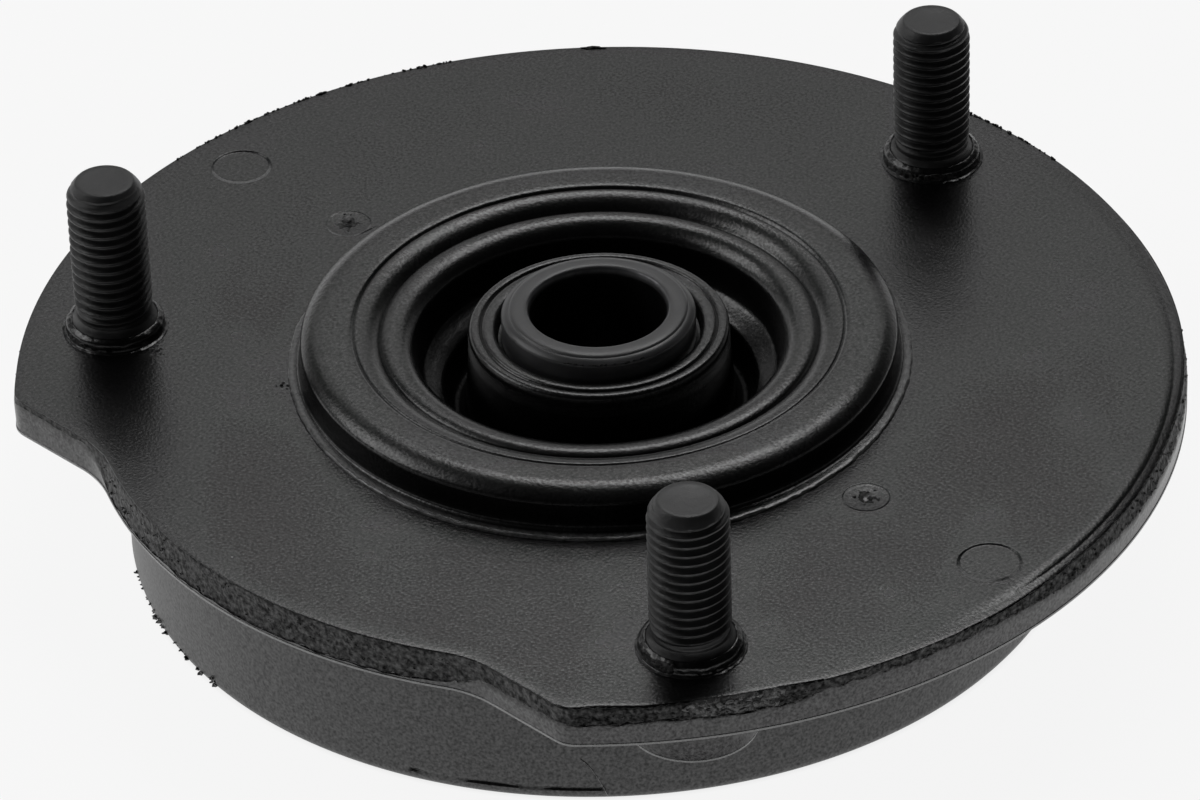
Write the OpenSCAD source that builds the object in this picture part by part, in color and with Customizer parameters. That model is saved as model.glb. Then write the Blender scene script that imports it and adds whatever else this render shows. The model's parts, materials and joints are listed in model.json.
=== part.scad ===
// Strut mount: one black rubber moulding bonded round a pressed steel plate, a welded steel cup
// and a flanged centre sleeve, with three threaded studs pressed up through the plate.
// The origin is on the sleeve's axis, level with the top face of the flange. +Z points along the
// studs, and -Y points at the side where the flange is cut back.

/* [Flange] */
// Radius of the round flange
flange_r = 73; // [71:0.5:76]
// Radius of the flange on the side that is cut back
cut_r = 63.9; // [62:0.1:65]
// Distance from the axis to the two straight edges of the cut
cut_y = 55.2; // [52:0.1:56]
// Height of the softened upper edge
edge_soft = 0.8; // [0.6:0.1:1.8]
// Radius of the two outer corners of the cut
corner_r = 3; // [1:0.5:5]
// Radius of the two inner corners of the cut
fillet_r = 9; // [4:0.5:9]

/* [Steel pressings] */
// Thickness of the mounting plate
plate_t = 3.6; // [2.6:0.2:4.2]
// Thickness of the rubber skin over the steel
skin_t = 0.8; // [0.6:0.1:1.2]
// Thickness of the lower cup
cup_t = 2.5; // [1.5:0.25:3]
// Gap between the stud heads and the wall of the cup
cup_gap = 0.75; // [0.5:0.25:1.5]
// Inside bend of the lower cup
cup_bend = 2; // [1:0.5:4]
// Radius of the disc on the centre sleeve
disc_r = 36; // [34:0.5:40]
// Thickness of that disc
disc_t = 3; // [2:0.25:4]
// Rubber under that disc
disc_cover = 2.5; // [1.5:0.25:4]

/* [Lower body] */
// Radius of the round wall under the flange
body_r = 59.8; // [57.5:0.1:61]
// Height from the lower rim to the top face of the flange
body_h = 23.4; // [21:0.1:26]
// Chamfer round the lower rim
rim_chamfer = 1; // [0.5:0.25:2]
// Radius of the recess in the underside
recess_r = 28; // [24:0.5:30]
// Depth of that recess
recess_h = 7.5; // [5:0.5:8]
// Rubber between that recess and the hole of the cup
recess_lining = 2; // [1:0.5:3]

/* [Dome ring] */
// Radius of the dome ring at its foot
dome_r = 37.6; // [37:0.1:40]
// Height of the dome ring
dome_h = 5.3; // [4.6:0.1:7]
// How far the outer wall of the ring leans in
dome_lean = 0.8; // [0.4:0.1:1.2]
// Round shoulder at the top of that wall
dome_shoulder = 3.6; // [2.5:0.1:3.8]
// Radius where the flat top of the ring starts to roll down to the well
dome_roll_r = 29.7; // [29.4:0.1:30.2]
// Radius of that roll
dome_roll = 4.2; // [4:0.1:4.6]
// Width of the fine groove where the roll starts
crease_w = 0.5; // [0.3:0.05:0.6]
// Depth of that fine groove
crease_h = 0.3; // [0.2:0.05:0.4]
// Height of the thin moulding lip round the foot
foot_lip_h = 0.4; // [0.2:0.1:0.6]
// Width of that lip
foot_lip_w = 1.1; // [0.5:0.1:1.6]

/* [Well] */
// Radius of the crest of the bead round the well
bead_ring_r = 25; // [24.8:0.1:25.2]
// Radius of the bead's own section
bead_ring_section = 1.3; // [1:0.1:1.4]
// Height of the bead's crest above the flange
bead_ring_h = 4.3; // [4:0.1:4.5]
// Radius of the bottom of the groove outside the bead
bead_groove_r = 26.2; // [26.1:0.05:26.3]
// Height of the bottom of that groove
bead_groove_z = 3.35; // [3:0.05:3.5]
// Radius of the well at the outer end of its shelf
shelf_outer_r = 22; // [21.5:0.1:22.8]
// Depth of the outer end of the shelf
shelf_outer_z = 1.7; // [1:0.1:2]
// Radius of the well at the inner end of its shelf
shelf_inner_r = 19.5; // [19.2:0.1:20.4]
// Depth of the inner end of the shelf
shelf_inner_z = 3; // [2.6:0.1:4]
// Depth of the well's floor
well_h = 7; // [6:0.2:8]
// Radius of the turn between the floor and the walls
well_turn = 1.1; // [0.6:0.1:1.4]

/* [Hub] */
// Radius of the rubber hub at its upper lip
hub_r = 16.3; // [15.8:0.1:16.8]
// Height of that lip
hub_h = 4.6; // [4:0.1:6]
// How far the wall of the hub leans out
hub_lean = 0.6; // [0.2:0.1:0.9]
// Width of the land on top of the hub
hub_land_w = 3.3; // [3:0.1:3.5]
// Softened edges of that land
hub_soft = 0.35; // [0.2:0.05:0.5]
// Width of the outer lip that a fine groove parts from the land
lip_w = 1.6; // [1.2:0.1:1.8]
// Width of that fine groove
lip_groove_w = 0.4; // [0.3:0.05:0.6]
// Depth of that fine groove
lip_groove_h = 0.4; // [0.2:0.05:0.5]
// Width of the channel's floor beside the sleeve
groove_w = 0.4; // [0.2:0.1:0.6]
// Height of the channel's floor
groove_z = 2.2; // [2:0.1:3.5]

/* [Centre sleeve] */
// Radius of the bore
bore_r = 8.5; // [7.5:0.05:9]
// Outer radius of the sleeve
sleeve_r = 12.1; // [11.5:0.1:12.2]
// Height of the sleeve's top face
sleeve_top = 7.6; // [7:0.1:10]
// Width of the slope round the outer top edge
sleeve_slope_w = 1; // [0.6:0.1:1.4]
// Height of that slope
sleeve_slope_h = 0.7; // [0.4:0.1:1.2]
// Width of the lead-in at the top of the bore
bore_lead_w = 0.6; // [0.3:0.1:0.8]
// Height of that lead-in
bore_lead_h = 1.2; // [0.6:0.1:1.6]
// Chamfer at the lower end of the bore
bore_chamfer = 0.4; // [0.2:0.1:0.6]

/* [Studs] */
// Distance from the rim of the flange in to the circle of studs
stud_inset = 11.4; // [10:0.1:13]
// Angle of the two front studs from the cut side
stud_spread_angle = 54.3; // [50:0.1:60]
// Radius over the thread
stud_r = 4.925; // [4.4:0.025:5]
// Height of the stud tips above the flange
stud_top = 20.8; // [18:0.2:30]
// Radius of the flat tip
stud_tip_r = 4; // [3:0.1:4.2]
// Height of the chamfer at the tip
stud_tip_h = 1.3; // [1:0.1:2.5]
// Radius of the plain shoulder at the foot
shoulder_r = 5.45; // [5.2:0.05:5.6]
// Height of that shoulder
shoulder_h = 2.2; // [1.6:0.1:3]
// Radius of the stud head under the plate
head_r = 7.2; // [6:0.1:8]
// Thickness of the stud head
head_t = 6; // [4:0.25:7]
// Width of the rubber collar round the foot of a stud
collar_w = 0.95; // [0.6:0.05:1.3]
// Height of that collar
collar_h = 1.6; // [0.8:0.1:1.6]

/* [Moulding marks] */
// Radius of the two locating marks
locating_r = 4; // [3:0.25:5]
// Distance of a locating mark from the axis
locating_x = 65; // [64:0.5:66]
// Radius of the two gate marks
gate_r = 3; // [2:0.25:3.5]
// Distance of a gate mark from the axis
gate_x = 45; // [44:0.5:50]
// Depth of all four marks
mark_depth = 0.35; // [0.2:0.05:0.45]

/* [Hidden] */
$fn = 120;

rubber_black = [0.07, 0.07, 0.075];
steel_grey = [0.45, 0.46, 0.48];
stud_black = [0.12, 0.12, 0.12];
sleeve_black = [0.1, 0.1, 0.105];

// Small overlap that carries a cut clear of a face
clear = 1;
// Share of a softened edge at which its two short slopes meet, as on a quarter round
soft_share = 0.3;
// Small distance by which the corner curves pass the edges that they join
arc_pass = 0.02;
arc_steps = 8;

flange_t = plate_t + 2 * skin_t;
plate_top_z = -skin_t;
plate_under_z = -skin_t - plate_t;
floor_z = -body_h;
recess_z = recess_h - body_h;
disc_z = recess_z + disc_cover;
stud_circle_r = flange_r - stud_inset;
stud_angles = [90, stud_spread_angle - 90, -stud_spread_angle - 90];
cup_r = stud_circle_r - head_r - cup_gap;
cup_hole_r = recess_r + recess_lining;
cup_floor_z = floor_z + skin_t;
head_z = plate_under_z - head_t;
boss_r = head_r + skin_t;
boss_z = head_z - skin_t;
collar_r = shoulder_r + collar_w;

// Points of an arc, from one angle to another
function arc(centre, radius, from, to) = [
    for (i = [0 : arc_steps])
        let (angle = from + (to - from) * i / arc_steps)
        centre + radius * [cos(angle), sin(angle)]
];

// Softened outer edge of a round plate whose top is at height zero, from the top downwards
function soft_edge(radius, soft) = [
    [radius - soft, 0],
    [radius - soft_share * soft, -soft_share * soft],
    [radius, -soft]
];

// Top of the dome ring and of the bead beside it
dome_top_r = dome_r - dome_lean;
shoulder_centre = [dome_top_r - dome_shoulder, dome_h - dome_shoulder];
roll_centre = [dome_roll_r, dome_h - dome_roll];
bead_centre = [bead_ring_r, bead_ring_h - bead_ring_section];
bead_outer_angle = 35;
bead_inner_angle = 165;
roll_start_angle = 97;
roll_end_angle = 142;
shoulder_end_angle = 10;
// The pressed steel ring lies one skin below the rubber dome
steel_dome_r = dome_r - skin_t;
steel_dome_top_r = dome_top_r - dome_shoulder / 2 - skin_t;
steel_dome_z = dome_h - skin_t;
steel_dome_hole_r = dome_roll_r + crease_w;
steel_dome_slope = (steel_dome_r - steel_dome_top_r) / (steel_dome_z - plate_top_z);
steel_dome_wall = plate_t * sqrt(1 + steel_dome_slope * steel_dome_slope);

// Section of the rubber from the sleeve outwards over the top and back along the underside
hub_section = [
    [sleeve_r, groove_z],
    [sleeve_r + groove_w, groove_z],
    [hub_r - hub_land_w, hub_h - hub_soft],
    [hub_r - hub_land_w + hub_soft, hub_h],
    [hub_r - lip_w - lip_groove_w, hub_h],
    [hub_r - lip_w - lip_groove_w / 2, hub_h - lip_groove_h],
    [hub_r - lip_w, hub_h],
    [hub_r - hub_soft, hub_h],
    [hub_r, hub_h - hub_soft]
];
well_section = concat(
    arc([hub_r + hub_lean + well_turn, -well_h + well_turn], well_turn, 180, 270),
    [
        [shelf_inner_r, -shelf_inner_z - clear],
        [shelf_inner_r, -shelf_inner_z],
        [shelf_outer_r, -shelf_outer_z]
    ]
);
dome_section = concat(
    arc(bead_centre, bead_ring_section, bead_inner_angle, bead_outer_angle),
    [[bead_groove_r, bead_groove_z]],
    arc(roll_centre, dome_roll, roll_end_angle, roll_start_angle),
    [
        [dome_roll_r - crease_w / 2, dome_h - crease_h],
        [dome_roll_r, dome_h]
    ],
    arc(shoulder_centre, dome_shoulder, 90, shoulder_end_angle),
    [
        [dome_r, foot_lip_h],
        [dome_r + foot_lip_w, foot_lip_h],
        [dome_r + foot_lip_w, 0]
    ]
);
underside_section = [
    [flange_r, -flange_t],
    [body_r, -flange_t],
    [body_r, floor_z + rim_chamfer],
    [body_r - rim_chamfer, floor_z],
    [recess_r + rim_chamfer, floor_z],
    [recess_r, floor_z + rim_chamfer],
    [recess_r, recess_z],
    [sleeve_r, recess_z]
];
rubber_section = concat(
    hub_section,
    well_section,
    dome_section,
    soft_edge(flange_r, edge_soft),
    underside_section
);

// Section of the steel plate, with its ring pressed up into the dome
plate_section = [
    [steel_dome_hole_r, steel_dome_z - plate_t],
    [steel_dome_hole_r, steel_dome_z],
    [steel_dome_top_r, steel_dome_z],
    [steel_dome_r, plate_top_z],
    [flange_r - skin_t, plate_top_z],
    [flange_r - skin_t, plate_under_z],
    [steel_dome_r - steel_dome_wall + steel_dome_slope * plate_t, plate_under_z],
    [
        steel_dome_top_r - steel_dome_wall + steel_dome_slope * plate_t,
        steel_dome_z - plate_t
    ]
];

// Section of the lower cup, a wall that turns in to a flat floor with a round hole
cup_section = concat(
    [[cup_r - cup_t, plate_under_z], [cup_r, plate_under_z]],
    arc(
        [cup_r - cup_t - cup_bend, cup_floor_z + cup_t + cup_bend],
        cup_t + cup_bend,
        0,
        -90
    ),
    [[cup_hole_r, cup_floor_z], [cup_hole_r, cup_floor_z + cup_t]],
    arc(
        [cup_r - cup_t - cup_bend, cup_floor_z + cup_t + cup_bend],
        cup_bend,
        -90,
        0
    )
);

stud_section = [
    [0, head_z],
    [head_r, head_z],
    [head_r, plate_under_z],
    [shoulder_r, plate_under_z],
    [shoulder_r, shoulder_h - (shoulder_r - stud_r)],
    [stud_r, shoulder_h],
    [stud_r, stud_top - stud_tip_h],
    [stud_tip_r, stud_top],
    [0, stud_top]
];

collar_section = [
    [stud_r, -skin_t / 2],
    [collar_r, -skin_t / 2],
    [collar_r, collar_h / 2],
    [collar_r - collar_w / 2, collar_h],
    [stud_r, collar_h]
];

sleeve_section = [
    [bore_r, recess_z + bore_chamfer],
    [bore_r + bore_chamfer, recess_z],
    [sleeve_r, recess_z],
    [sleeve_r, sleeve_top - sleeve_slope_h],
    [sleeve_r - sleeve_slope_w, sleeve_top],
    [bore_r + bore_lead_w, sleeve_top],
    [bore_r, sleeve_top - bore_lead_h]
];

// A ring or round body made by turning a section about the axis
module turned(section) {
    rotate_extrude()
        polygon(section);
}

// Copies of a shape at the three stud places
module at_studs() {
    for (angle = stud_angles)
        rotate(angle)
            translate([stud_circle_r, 0, 0])
                children();
}

// Area that the straight edges and the smaller radius leave off the flange, drawn in from the rim
module cut_area(inset) {
    difference() {
        translate([-2 * flange_r, inset - cut_y - 2 * flange_r])
            square([4 * flange_r, 2 * flange_r]);
        circle(cut_r - inset);
    }
}

// The outer corner at one side, between the straight edge and the rim
module corner_waste() {
    centre_y = corner_r - cut_y;
    centre_x = sqrt(pow(flange_r - corner_r, 2) - pow(centre_y, 2));
    rim_angle = atan2(centre_y, centre_x);
    curve = arc([centre_x, centre_y], corner_r + arc_pass, -90, rim_angle);
    polygon(concat(curve, [(flange_r + corner_r) * [cos(rim_angle), sin(rim_angle)]],
        [[centre_x, -cut_y - 2 * corner_r]]));
}

// The inner corner at one side, filled between the straight edge and the smaller radius
module inner_fillet() {
    centre_y = -cut_y - fillet_r;
    centre_x = sqrt(pow(cut_r + fillet_r, 2) - pow(centre_y, 2));
    radius_angle = atan2(-centre_y, -centre_x);
    curve = arc([centre_x, centre_y], fillet_r + arc_pass, 90, radius_angle);
    polygon(concat(curve, [[centre_x - fillet_r, fillet_r - cut_y]]));
}

// What is taken off the round flange on the cut side, with the upper edges left soft
module cut_back() {
    rise = clear;
    run = edge_soft + rise * (1 - soft_share) / soft_share;
    soft_line = [
        [0, -edge_soft],
        [soft_share * edge_soft, -soft_share * edge_soft],
        [run, rise]
    ];
    difference() {
        rotate([90, 0, 90])
            linear_extrude(4 * flange_r, center = true)
                polygon(concat(
                    [[-2 * flange_r, rise], [-2 * flange_r, -flange_t - clear]],
                    [[-cut_y, -flange_t - clear]],
                    [for (point = soft_line) [point[0] - cut_y, point[1]]]
                ));
        turned(concat(
            [[0, rise + clear], [0, -flange_t - 2 * clear], [cut_r, -flange_t - 2 * clear]],
            [for (point = soft_line) [cut_r - point[0], point[1]]],
            [[cut_r - run, rise + clear]]
        ));
        translate([0, 0, -flange_t - 2 * clear])
            linear_extrude(flange_t + 2 * clear - soft_share * edge_soft * 2)
                for (side = [0, 1])
                    mirror([side, 0])
                        inner_fillet();
    }
    translate([0, 0, -flange_t - clear])
        linear_extrude(flange_t + 2 * clear)
            for (side = [0, 1])
                mirror([side, 0])
                    corner_waste();
}

// Round marks that the mould leaves in the top face
module moulding_marks() {
    for (side = [-1, 1]) {
        translate([side * locating_x, 0, -mark_depth])
            cylinder(r = locating_r, h = mark_depth + clear);
        translate([side * gate_x, 0, -mark_depth])
            cylinder(r = gate_r, h = mark_depth + clear);
    }
}

// Steel disc with a hole of the radius given
module disc_ring(hole_r) {
    translate([0, 0, disc_z])
        difference() {
            cylinder(r = disc_r, h = disc_t);
            translate([0, 0, -clear])
                cylinder(r = hole_r, h = disc_t + 2 * clear);
        }
}

// The moulding: skin, dome ring, well, hub, lower body, stud collars and the bosses over the
// stud heads, bonded to every steel piece
module rubber_body() {
    color(rubber_black)
        difference() {
            union() {
                difference() {
                    turned(rubber_section);
                    cut_back();
                }
                at_studs()
                    translate([0, 0, boss_z])
                        cylinder(r = boss_r, h = plate_under_z - boss_z);
                at_studs()
                    turned(collar_section);
            }
            mounting_plate();
            mounting_studs();
            disc_ring(sleeve_r - clear);
            lower_cup();
            moulding_marks();
        }
}

// Pressed plate inside the flange, cut back like the flange and holed for the studs
module mounting_plate() {
    color(steel_grey)
        difference() {
            turned(plate_section);
            translate([0, 0, plate_under_z - clear])
                linear_extrude(plate_t + 2 * clear)
                    cut_area(skin_t);
            at_studs()
                translate([0, 0, plate_under_z - clear])
                    cylinder(r = shoulder_r, h = plate_t + 2 * clear);
        }
}

// Three studs, each with its head under the plate
module mounting_studs() {
    color(stud_black)
        at_studs()
            turned(stud_section);
}

// Turned sleeve for the end of the strut rod
module inner_sleeve() {
    color(sleeve_black)
        turned(sleeve_section);
}

// Disc welded round the sleeve, wider than the holes of the plate and of the cup
module hub_disc() {
    color(steel_grey)
        disc_ring(sleeve_r);
}

// Drawn cup welded under the plate
module lower_cup() {
    color(steel_grey)
        turned(cup_section);
}

rubber_body();
mounting_plate();
mounting_studs();
inner_sleeve();
hub_disc();
lower_cup();
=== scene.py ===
import json
import math
import random

import bmesh
import bpy
from mathutils import Matrix, Vector, noise


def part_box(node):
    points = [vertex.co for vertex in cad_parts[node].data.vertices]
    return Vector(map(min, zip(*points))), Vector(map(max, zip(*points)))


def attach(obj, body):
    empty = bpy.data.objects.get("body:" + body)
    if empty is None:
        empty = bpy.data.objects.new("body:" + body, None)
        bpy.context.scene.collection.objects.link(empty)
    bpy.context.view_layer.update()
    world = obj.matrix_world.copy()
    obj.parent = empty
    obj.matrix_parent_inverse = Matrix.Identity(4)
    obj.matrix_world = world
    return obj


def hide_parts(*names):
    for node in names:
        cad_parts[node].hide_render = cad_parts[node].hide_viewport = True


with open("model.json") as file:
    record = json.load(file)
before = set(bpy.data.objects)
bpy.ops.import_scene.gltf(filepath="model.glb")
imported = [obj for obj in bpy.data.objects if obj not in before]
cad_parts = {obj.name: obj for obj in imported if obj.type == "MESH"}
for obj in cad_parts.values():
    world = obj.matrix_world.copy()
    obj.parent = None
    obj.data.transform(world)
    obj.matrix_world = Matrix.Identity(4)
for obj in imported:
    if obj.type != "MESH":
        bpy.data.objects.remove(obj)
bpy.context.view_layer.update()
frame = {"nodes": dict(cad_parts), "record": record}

# Steel pressings: the mounting plate, the drawn lower cup and the disc round the sleeve. They are
# rolled steel sheet in its mill finish, welded up and then buried in the rubber as it is moulded,
# so the solids stay as they are and only get their finish.
mm = 0.001
mill_grey = ((0.33, 0.34, 0.36), (0.47, 0.48, 0.5))
mill_roughness = (0.3, 0.46)
rolling_lines = (1, 0.04, 1)
rolling_depth = 0.01 * mm


def new_finish(name):
    """A material, its node tree and its Principled shader."""
    finish = bpy.data.materials.new(name)
    finish.use_nodes = True
    return finish, finish.node_tree, finish.node_tree.nodes["Principled BSDF"]


def grain(tree, per_metre, detail=2.0, stretch=(1, 1, 1)):
    """Noise on the piece's own coordinates, with about this many grains to the metre."""
    place = tree.nodes.new("ShaderNodeTexCoord")
    mapping = tree.nodes.new("ShaderNodeMapping")
    mapping.inputs["Scale"].default_value = stretch
    pattern = tree.nodes.new("ShaderNodeTexNoise")
    pattern.inputs["Scale"].default_value = per_metre
    pattern.inputs["Detail"].default_value = detail
    tree.links.new(place.outputs["Object"], mapping.inputs["Vector"])
    tree.links.new(mapping.outputs["Vector"], pattern.inputs["Vector"])
    return pattern.outputs["Fac"]


def between(tree, amount, low, high, start=0.3, end=0.7):
    """An amount, carried from its usual reach to a pair of values."""
    span = tree.nodes.new("ShaderNodeMapRange")
    span.inputs["From Min"].default_value = start
    span.inputs["From Max"].default_value = end
    span.inputs["To Min"].default_value = low
    span.inputs["To Max"].default_value = high
    tree.links.new(amount, span.inputs["Value"])
    return span.outputs["Result"]


def shade(tree, amount, dark, light, start=0.3, end=0.7):
    """A colour that goes from dark to light with an amount."""
    ramp = tree.nodes.new("ShaderNodeValToRGB")
    first, last = ramp.color_ramp.elements
    first.position = start
    first.color = (*dark, 1)
    last.position = end
    last.color = (*light, 1)
    tree.links.new(amount, ramp.inputs["Fac"])
    return ramp.outputs["Color"]


def relief(tree, surface, amount, height):
    """Bump of this height, laid over the bump that the surface has already."""
    bump = tree.nodes.new("ShaderNodeBump")
    bump.inputs["Distance"].default_value = height
    before = surface.inputs["Normal"].links
    if before:
        tree.links.new(before[0].from_socket, bump.inputs["Normal"])
    tree.links.new(amount, bump.inputs["Height"])
    tree.links.new(bump.outputs["Normal"], surface.inputs["Normal"])


mill_steel, tree, surface = new_finish("mill_steel")
surface.inputs["Metallic"].default_value = 1
rolled = grain(tree, 900, 3, rolling_lines)
tree.links.new(shade(tree, rolled, *mill_grey), surface.inputs["Base Color"])
tree.links.new(between(tree, rolled, *mill_roughness), surface.inputs["Roughness"])
relief(tree, surface, rolled, rolling_depth)
for name in ("mounting_plate", "lower_cup", "hub_disc"):
    pressing = frame["nodes"][name]
    pressing.data.materials.clear()
    pressing.data.materials.append(mill_steel)

# Studs: three steel studs, turned, rolled with an M10 x 1.25 thread and phosphated black. Each is
# pressed up through the plate until its head stops under it. The thread runs out above a plain
# shoulder, and a chamfer at the tip takes off the first turn.
stud_low, stud_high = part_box("mounting_studs")
stud_mounts = [m for m in frame["record"]["mounts"] if m["kind"] == "pin"]
stud_places = [Vector((m["pos_m"][0], m["pos_m"][1], 0)) for m in stud_mounts]
stud_crest_r = stud_mounts[0]["dims"]["r_mm"] * mm
stud_pitch = 1.25 * mm
stud_thread_depth = 0.76 * mm
stud_crest_share = 0.16
stud_flank_share = 0.62
stud_steps = 72
stud_rows_to_a_turn = 14
stud_head_r = 7.2 * mm
stud_head_top = -4.4 * mm
stud_shank_r = 5.4 * mm
stud_shoulder_z = 1.5 * mm
stud_neck_r = 4.7 * mm
stud_thread_start = 2.3 * mm
stud_thread_full = 4.2 * mm
stud_chamfer_h = 2.3 * mm
stud_chamfer_power = 1.8
stud_tip_r = 3.6 * mm
stud_tip_round = 0.1 * mm
stud_tip_dish = 0.1 * mm
stud_dish_share = 0.8
stud_rises = (0, 0.4 * mm, 1 * mm)
stud_turns = (1.1, 3.3, 5.5)
stud_sharp_angle = 50
phosphate_black = ((0.018, 0.018, 0.0185), (0.04, 0.04, 0.041))
phosphate_roughness = (0.34, 0.52)


def draw_section(name, points, closed=True):
    """A chain of edges in the XZ plane, extruded point by point out of one vertex."""
    bpy.ops.object.select_all(action="DESELECT")
    bpy.ops.mesh.primitive_plane_add(size=mm)
    piece = bpy.context.object
    piece.name = name
    bpy.ops.object.mode_set(mode="EDIT")
    bpy.ops.mesh.merge(type="CENTER")
    bpy.ops.transform.translate(value=(points[0][0], 0, points[0][1]))
    for here, there in zip(points, points[1:]):
        step = (there[0] - here[0], 0, there[1] - here[1])
        bpy.ops.mesh.extrude_vertices_move(TRANSFORM_OT_translate={"value": step})
    if closed:
        mesh = bmesh.from_edit_mesh(piece.data)
        mesh.verts.ensure_lookup_table()
        for vertex in mesh.verts:
            vertex.select = len(vertex.link_edges) == 1
        mesh.select_flush_mode()
        bmesh.update_edit_mesh(piece.data)
        bpy.ops.mesh.edge_face_add()
    return piece


def spin_section(piece, steps):
    """Turns the section that is being edited about the Z axis into a closed round body."""
    bpy.ops.mesh.select_all(action="SELECT")
    bpy.ops.mesh.spin(steps=steps, angle=2 * math.pi, center=(0, 0, 0), axis=(0, 0, 1))
    bpy.ops.mesh.select_all(action="SELECT")
    bpy.ops.mesh.remove_doubles(threshold=0.001 * mm)
    bpy.ops.mesh.normals_make_consistent(inside=False)
    bpy.ops.object.mode_set(mode="OBJECT")
    return piece


def move_points(piece, rule):
    """Moves every point of a mesh to where the rule puts it."""
    for vertex in piece.data.vertices:
        vertex.co = rule(vertex.co.copy())
    piece.data.update()


def copy_piece(piece):
    """A copy of a piece, with a mesh of its own."""
    copy = piece.copy()
    copy.data = piece.data.copy()
    bpy.context.scene.collection.objects.link(copy)
    return copy


def select_only(pieces):
    """Selects these pieces and no others, with the first one active."""
    bpy.ops.object.select_all(action="DESELECT")
    for piece in pieces:
        piece.select_set(True)
    bpy.context.view_layer.objects.active = pieces[0]


def join_pieces(name, pieces):
    """One object out of several, at the origin and with every place in its mesh."""
    select_only(pieces)
    bpy.ops.object.transform_apply(location=True, rotation=True, scale=True)
    bpy.ops.object.join()
    pieces[0].name = name
    return pieces[0]


def smooth_step(low, high, value):
    """A share from 0 to 1 that eases in and out between two values."""
    share = min(max((value - low) / (high - low), 0), 1)
    return share * share * (3 - 2 * share)


def finish_piece(piece, finish, node, sharp_angle=45):
    """Gives a piece its material and smooth shading, its place on the part, and hides the solid it
    replaces.
    """
    piece.data.materials.clear()
    piece.data.materials.append(finish)
    select_only([piece])
    bpy.ops.object.shade_smooth_by_angle(angle=math.radians(sharp_angle))
    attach(piece, "root")
    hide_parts(node)


stud_tip_z = stud_high.z
stud_chamfer_z = stud_tip_z - stud_chamfer_h
stud_row = stud_pitch / stud_rows_to_a_turn
stud_rows = int((stud_tip_z - stud_tip_round - stud_thread_start) / stud_row)
stud_section = [
    (0, stud_low.z),
    (stud_head_r - stud_tip_round, stud_low.z),
    (stud_head_r, stud_low.z + stud_tip_round),
    (stud_head_r, stud_head_top),
    (stud_shank_r, stud_head_top),
    (stud_shank_r, stud_shoulder_z),
    (stud_shank_r - stud_tip_round, stud_shoulder_z + stud_tip_round),
    (stud_neck_r, stud_thread_start - stud_tip_round),
]
stud_section += [(stud_neck_r, stud_thread_start + row * stud_row) for row in range(stud_rows + 1)]
stud_section += [
    (stud_tip_r - stud_tip_round, stud_tip_z),
    (stud_tip_r * stud_dish_share, stud_tip_z - stud_tip_dish),
    (0, stud_tip_z - stud_tip_dish),
]


def cut_thread(point):
    """Moves a point of the plain stud to the surface of the rolled thread."""
    radius = math.hypot(point.x, point.y)
    on_thread = stud_thread_start <= point.z < stud_tip_z - stud_tip_round / 2
    if not on_thread or radius < stud_tip_r:
        return point
    turn = math.atan2(point.y, point.x) / (2 * math.pi)
    from_crest = abs((point.z / stud_pitch - turn) % 1 - 0.5) * 2
    flank = min(max((from_crest - stud_crest_share) / stud_flank_share, 0), 1)
    flank = (flank + smooth_step(0, 1, flank)) / 2
    grown = smooth_step(stud_thread_start, stud_thread_full, point.z)
    crest = stud_neck_r + (stud_crest_r - stud_neck_r) * grown
    wanted = crest - stud_thread_depth * flank * grown
    chamfer = (max(point.z - stud_chamfer_z, 0) / stud_chamfer_h) ** stud_chamfer_power
    wanted = min(wanted, stud_crest_r - (stud_crest_r - stud_tip_r) * chamfer)
    return Vector((point.x * wanted / radius, point.y * wanted / radius, point.z))


first_stud = spin_section(draw_section("stud", stud_section, closed=False), stud_steps)
move_points(first_stud, cut_thread)
studs = []
for place, rise, turn in zip(stud_places, stud_rises, stud_turns):
    stud = copy_piece(first_stud)
    stretch = 1 + rise / stud_tip_z
    move_points(stud, lambda p: Vector((p.x, p.y, p.z * stretch if p.z > 0 else p.z)))
    stud.data.transform(Matrix.Translation(place) @ Matrix.Rotation(turn, 4, "Z"))
    studs.append(stud)
bpy.data.objects.remove(first_stud)
threaded_studs = join_pieces("threaded_studs", studs)

phosphate, tree, surface = new_finish("black_phosphate")
surface.inputs["IOR"].default_value = 1.55
smears = grain(tree, 260, 4)
crystals = grain(tree, 2600, 3)
pits = grain(tree, 700, 3)
tree.links.new(shade(tree, smears, *phosphate_black), surface.inputs["Base Color"])
tree.links.new(between(tree, smears, *phosphate_roughness), surface.inputs["Roughness"])
relief(tree, surface, crystals, 0.02 * mm)
relief(tree, surface, smears, 0.06 * mm)
relief(tree, surface, pits, 0.08 * mm)
finish_piece(threaded_studs, phosphate, "mounting_studs", stud_sharp_angle)

# Centre sleeve: a turned steel sleeve with a satin black coat, clamped on the end of the strut rod.
# The rubber of the hub is bonded to its lower part, its top stands clear with a crowned face, and
# the coat is rubbed thin at the mouth of the bore.
# Deep in the bore the coat colour gives way to near black, which is painted shade.
sleeve_low, sleeve_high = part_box("inner_sleeve")
sleeve_r = sleeve_high.x
sleeve_bore_r = frame["record"]["mounts"][0]["dims"]["r_mm"] * mm
sleeve_bore_round = 0.4 * mm
sleeve_edge_z = 6.4 * mm
sleeve_bore_top = 6.35 * mm
sleeve_mouth_z = (6.75 * mm, 7.5 * mm)
sleeve_mouth_r = 8.95 * mm
sleeve_deep_z = 6.7 * mm
sleeve_steps = 200
sleeve_sharp_angle = 40
coat_black = ((0.045, 0.045, 0.047), (0.07, 0.07, 0.073))
coat_roughness = (0.28, 0.4)
bare_steel = (0.16, 0.16, 0.165, 1)
# Near black painted shade for the inside of the bore, below its mouth.
painted_bore_shade = (0.004, 0.004, 0.0042, 1)


def in_mm(points):
    """Points that are written in millimetres, in metres."""
    return [(r * mm, z * mm) for r, z in points]


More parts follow.
